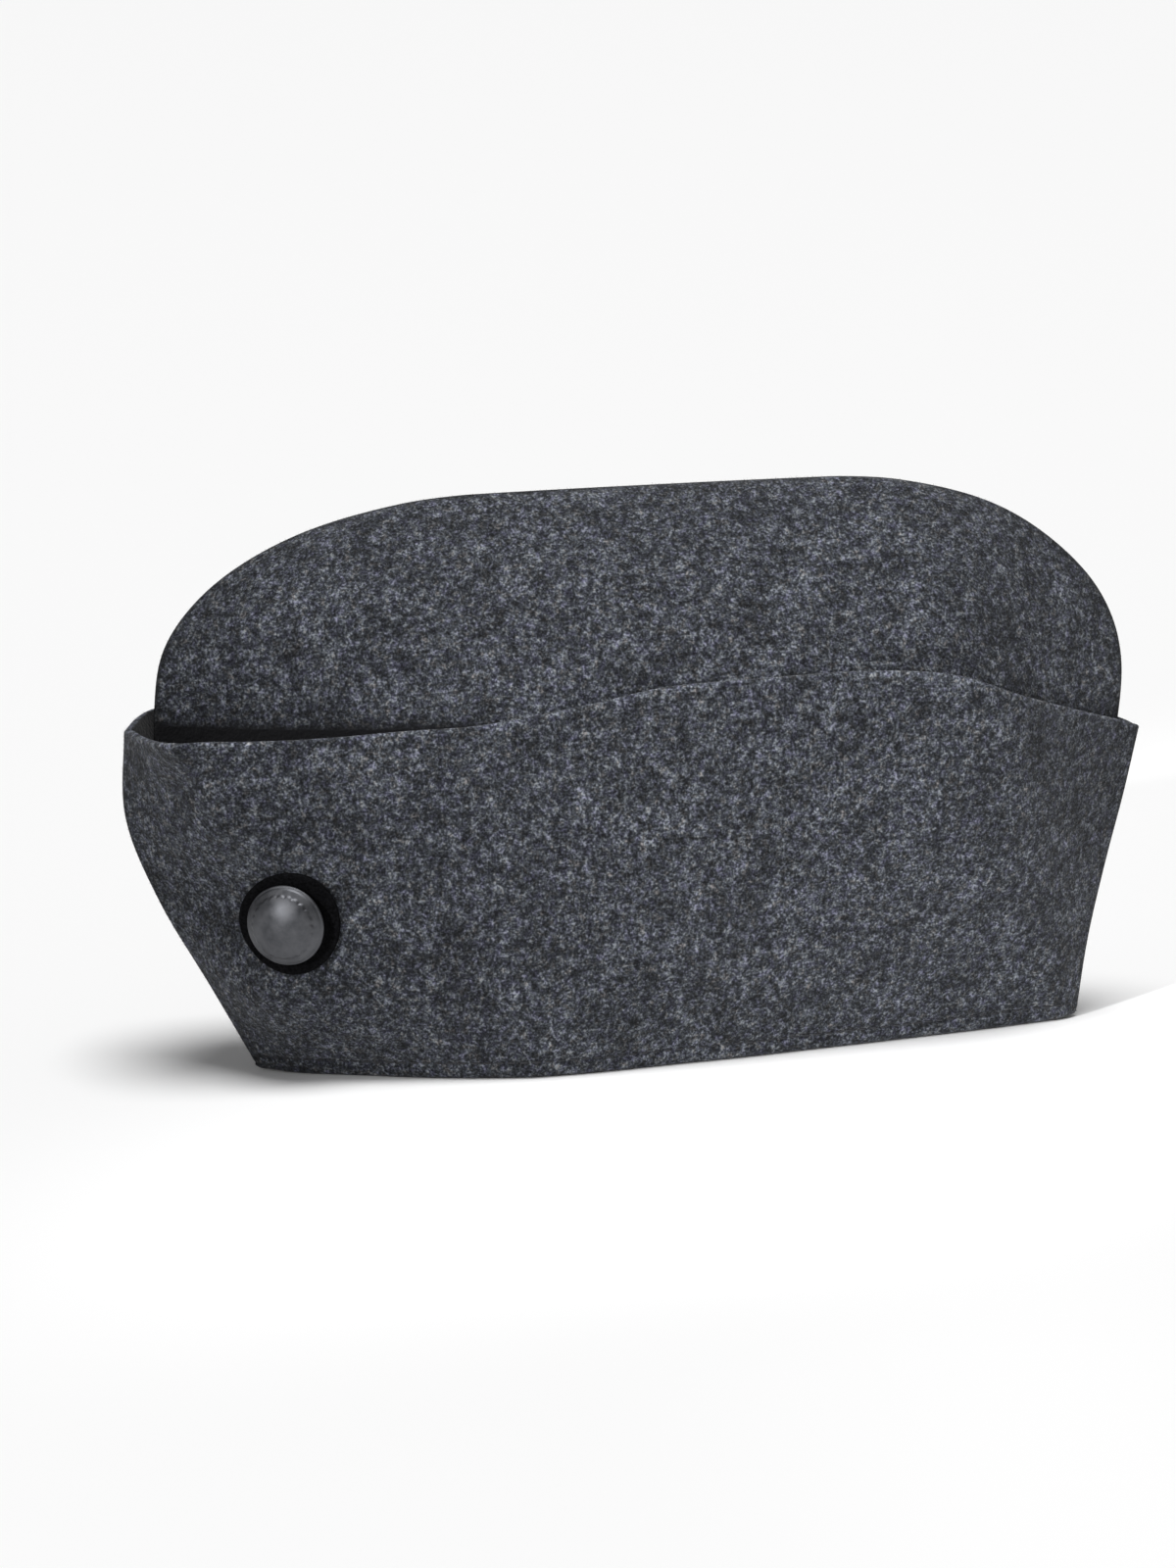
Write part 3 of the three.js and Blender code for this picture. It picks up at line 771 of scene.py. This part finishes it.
def loose_fibres(name, wall, tree, finish, seed):
    piece = linked(name, wall.data.copy())
    values = {
        "Density": FIBRE_DENSITY, "Length": FIBRE_LENGTH, "Width": FIBRE_WIDTH, "Lift": FIBRE_LIFT,
        "Floor": FIBRE_FLOOR, "Seed": seed, "Material": finish,
    }
    return grown(piece, tree, values)


def curtain_normal(x, z):
    step = 0.0005
    x, z = np.asarray(x, float), np.asarray(z, float)
    along = curtain_face(x + step, z) - curtain_face(x - step, z)
    up = curtain_face(x, z + step) - curtain_face(x, z - step)
    return unit(np.cross(along, up))


def button_seat():
    """Centre of the button on the curtain, its axis, and two directions across it."""
    x, z = np.array(BUTTON_X), np.array(BUTTON_Z)
    axis = curtain_normal(x, z)
    level = unit(np.array([-axis[1], axis[0], 0.0]))
    return curtain_face(x, z), axis, level, np.cross(axis, level)


def seat_points(radius, angle):
    """The curtain's face at a radius and angle round the button's centre."""
    centre, _, level, upward = button_seat()
    flat = centre + level * (radius * np.cos(angle))[..., None] + upward * (radius * np.sin(angle))[..., None]
    return curtain_face(flat[..., 0], flat[..., 2])


def ring_object(name, rings):
    """A closed surface from rings of points, each joined to the next and the last to the first."""
    count, spokes, _ = rings.shape
    faces = []
    for i in range(count):
        for k in range(spokes):
            a, b = i * spokes + k, i * spokes + (k + 1) % spokes
            c, d = (i + 1) % count * spokes + k, (i + 1) % count * spokes + (k + 1) % spokes
            faces.append((a, b, d, c))
    mesh = bpy.data.meshes.new(name)
    mesh.from_pydata(rings.reshape(-1, 3).tolist(), [], faces)
    mesh.shade_smooth()
    return linked(name, mesh)


def felt_round():
    """The felt round follows the curtain's face, with a soft cut edge and a hole for the shank."""
    angle = np.linspace(0, 2 * math.pi, FELT_SPOKES, endpoint=False)
    half = (BACKING_THICK + FELT_NAP) / 2
    base = BACKING_CLEAR - FELT_NAP
    profile = []
    for radius in np.linspace(SHANK_RADIUS + BUTTON_CLEAR, BACKING_RADIUS - half, 10):
        profile.append((radius, base))
    for turn in np.linspace(-math.pi / 2, math.pi / 2, ARC_STEPS + 1)[1:-1]:
        profile.append((BACKING_RADIUS - half + half * math.cos(turn), base + half + half * math.sin(turn)))
    for radius in np.linspace(BACKING_RADIUS - half, SHANK_RADIUS + BUTTON_CLEAR, 10):
        profile.append((radius, base + 2 * half))
    rings = []
    for radius, height in profile:
        faces = seat_points(np.full_like(angle, radius), angle)
        rings.append(faces + curtain_normal(faces[:, 0], faces[:, 2]) * height)
    return ring_object("felt_round", np.array(rings))


def button_lift():
    """How far the button's flat underside stands off the curtain so that it clears the curved felt."""
    centre, axis, _, _ = button_seat()
    angle = np.linspace(0, 2 * math.pi, FELT_SPOKES, endpoint=False)
    edge = seat_points(np.full_like(angle, BUTTON_RADIUS), angle)
    return max(((edge - centre) @ axis).max(), 0.0) + BACKING_CLEAR + BACKING_THICK + BUTTON_CLEAR


def button_heights(radius, angle):
    """Height of the button's top: a dome with a raised, scalloped face."""
    sphere = (BUTTON_RADIUS**2 + BUTTON_DOME**2) / (2 * BUTTON_DOME)
    dome = np.sqrt(sphere**2 - radius**2) - sphere + BUTTON_DOME
    wave = 1 - SCALLOP_DEPTH * (1 - np.abs(np.cos(angle * SCALLOPS / 2)))
    border = FACE_SHARE * BUTTON_RADIUS * wave
    rise = np.clip((border - radius) / FACE_STEP + 0.5, 0, 1)
    return BUTTON_EDGE + dome + FACE_RISE * rise * rise * (3 - 2 * rise)


def button_piece():
    """The button: shank, flat underside, rolled edge, dome and face, as rings round its axis."""
    centre, axis, level, upward = button_seat()
    lift = button_lift()
    angle = np.linspace(0, 2 * math.pi, BUTTON_SPOKES, endpoint=False)
    roll = BUTTON_EDGE / 2
    length = lift + WALL + SHANK_PAST
    profile = [(SHANK_RADIUS * 0.02, -length), (SHANK_RADIUS, -length), (SHANK_RADIUS, 0.0)]
    for turn in np.linspace(-math.pi / 2, math.pi / 2, ARC_STEPS + 1):
        profile.append((BUTTON_RADIUS - roll + roll * math.cos(turn), roll + roll * math.sin(turn)))
    rings = [(np.full_like(angle, r), np.full_like(angle, h)) for r, h in profile]
    for radius in np.linspace(BUTTON_RADIUS - roll * 1.4, BUTTON_RADIUS * 0.004, BUTTON_RINGS):
        around = np.full_like(angle, radius)
        rings.append((around, button_heights(around, angle)))
    points = []
    for radius, height in rings:
        across = level * (radius * np.cos(angle))[:, None] + upward * (radius * np.sin(angle))[:, None]
        points.append(centre + across + axis * (lift + height)[:, None])
    return ring_object("domed_button", np.array(points))


def dressed(piece, finish):
    """Gives a piece its material and the body that it rides on."""
    piece.data.materials.clear()
    piece.data.materials.append(finish)
    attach(piece, "root")
    return piece


def build_cap():
    wool, fibres, thread = wool_material(), fibre_material(), thread_material()
    scatter, sew = fibre_tree(), stitch_tree()
    crown, crown_painted_shadow, crown_tone = crown_loops()
    curtain, curtain_dark_inside, curtain_tone = curtain_loops()
    curtain = corner_rounded(curtain)
    crown_shades = {"inside": crown_painted_shadow, "tone": crown_tone}
    curtain_shades = {"inside": curtain_dark_inside, "tone": curtain_tone}
    for seed, side in enumerate(("left", "right")):
        mirror = side == "right"
        crown_wool = dressed(wall_object(f"crown_{side}_wool", crown, crown_shades, mirror), wool)
        curtain_wall = wall_object(f"curtain_{side}_wool", curtain, curtain_shades, mirror)
        curtain_wool = dressed(curtain_wall, wool)
        crown_nap = loose_fibres(f"crown_{side}_fibres", crown_wool, scatter, fibres, 20 + seed)
        curtain_nap = loose_fibres(f"curtain_{side}_fibres", curtain_wool, scatter, fibres, 30 + seed)
        stitches = hem_stitches(f"hem_stitches_{side}", sew, thread, mirror)
        for piece in (crown_nap, curtain_nap, stitches):
            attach(piece, "root")
        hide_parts(f"crown_{side}")
        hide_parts(f"curtain_{side}")
    felt = dressed(felt_round(), felt_material())
    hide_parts("button_backing")
    button = dressed(button_piece(), metal_material())
    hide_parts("button")


def photo_camera():
    """A camera at the photograph's angle, with its slight roll."""
    azimuth, elevation = math.radians(VIEW_AZIMUTH), math.radians(VIEW_ELEVATION)
    back = Vector((
        math.sin(azimuth) * math.cos(elevation),
        -math.cos(azimuth) * math.cos(elevation),
        math.sin(elevation),
    ))
    right = Vector((math.cos(azimuth), math.sin(azimuth), 0.0))
    up = back.cross(right)
    turn = Matrix((right, up, back)).transposed()
    camera = bpy.data.objects.new("camera", bpy.data.cameras.new("camera"))
    camera.data.lens = VIEW_LENS
    camera.location = VIEW_TARGET + back * VIEW_DISTANCE
    camera.rotation_euler = (turn @ Matrix.Rotation(math.radians(VIEW_ROLL), 3, "Z")).to_euler()
    bpy.context.scene.collection.objects.link(camera)
    bpy.context.scene.camera = camera


def turned_to(name, lamp, place, target):
    """A lamp at a place, turned towards a target."""
    holder = bpy.data.objects.new(name, lamp)
    holder.location = place
    holder.rotation_euler = (Vector(target) - Vector(place)).to_track_quat("-Z", "Y").to_euler()
    bpy.context.scene.collection.objects.link(holder)


def key_light():
    """The main light, broad and even like a large window."""
    lamp = bpy.data.lights.new("key", "SUN")
    lamp.energy = KEY_STRENGTH
    lamp.angle = math.radians(KEY_BREADTH)
    azimuth, elevation = math.radians(KEY_AZIMUTH), math.radians(KEY_ELEVATION)
    level = math.cos(elevation)
    place = Vector((math.sin(azimuth) * level, -math.cos(azimuth) * level, math.sin(elevation)))
    turned_to("key", lamp, place, (0.0, 0.0, 0.0))


def soft_spot(name, place, target, cone, power):
    """A lamp whose beam fades evenly from its middle to its border."""
    lamp = bpy.data.lights.new(name, "SPOT")
    lamp.energy = power
    lamp.spot_size = math.radians(cone)
    lamp.spot_blend = 1.0
    lamp.shadow_soft_size = SPOT_SIZE
    turned_to(name, lamp, place, target)


def studio():
    """A pale floor, an even sky, the main light and the soft lamps."""
    mesh = bpy.data.meshes.new("floor")
    reach = FLOOR_REACH
    corners = [(-reach, -reach, 0), (reach, -reach, 0), (reach, reach, 0), (-reach, reach, 0)]
    mesh.from_pydata(corners, [], [(0, 1, 2, 3)])
    floor = linked("floor", mesh)
    floor.location.z = -FLOOR_DROP
    pale, _, shader = material("pale_floor")
    shader.inputs["Base Color"].default_value = FLOOR_COLOUR
    shader.inputs["Roughness"].default_value = FLOOR_ROUGHNESS
    mesh.materials.append(pale)
    world = bpy.data.worlds.new("studio")
    world.use_nodes = True
    world.node_tree.nodes["Background"].inputs["Color"].default_value = (1.0, 1.0, 1.0, 1.0)
    world.node_tree.nodes["Background"].inputs["Strength"].default_value = SKY_STRENGTH
    bpy.context.scene.world = world
    key_light()
    for spot in SPOTS:
        soft_spot(**dict(zip(SPOT_COLUMNS, spot)))
    bpy.context.scene.view_settings.view_transform = "Standard"


build_cap()
photo_camera()
studio()
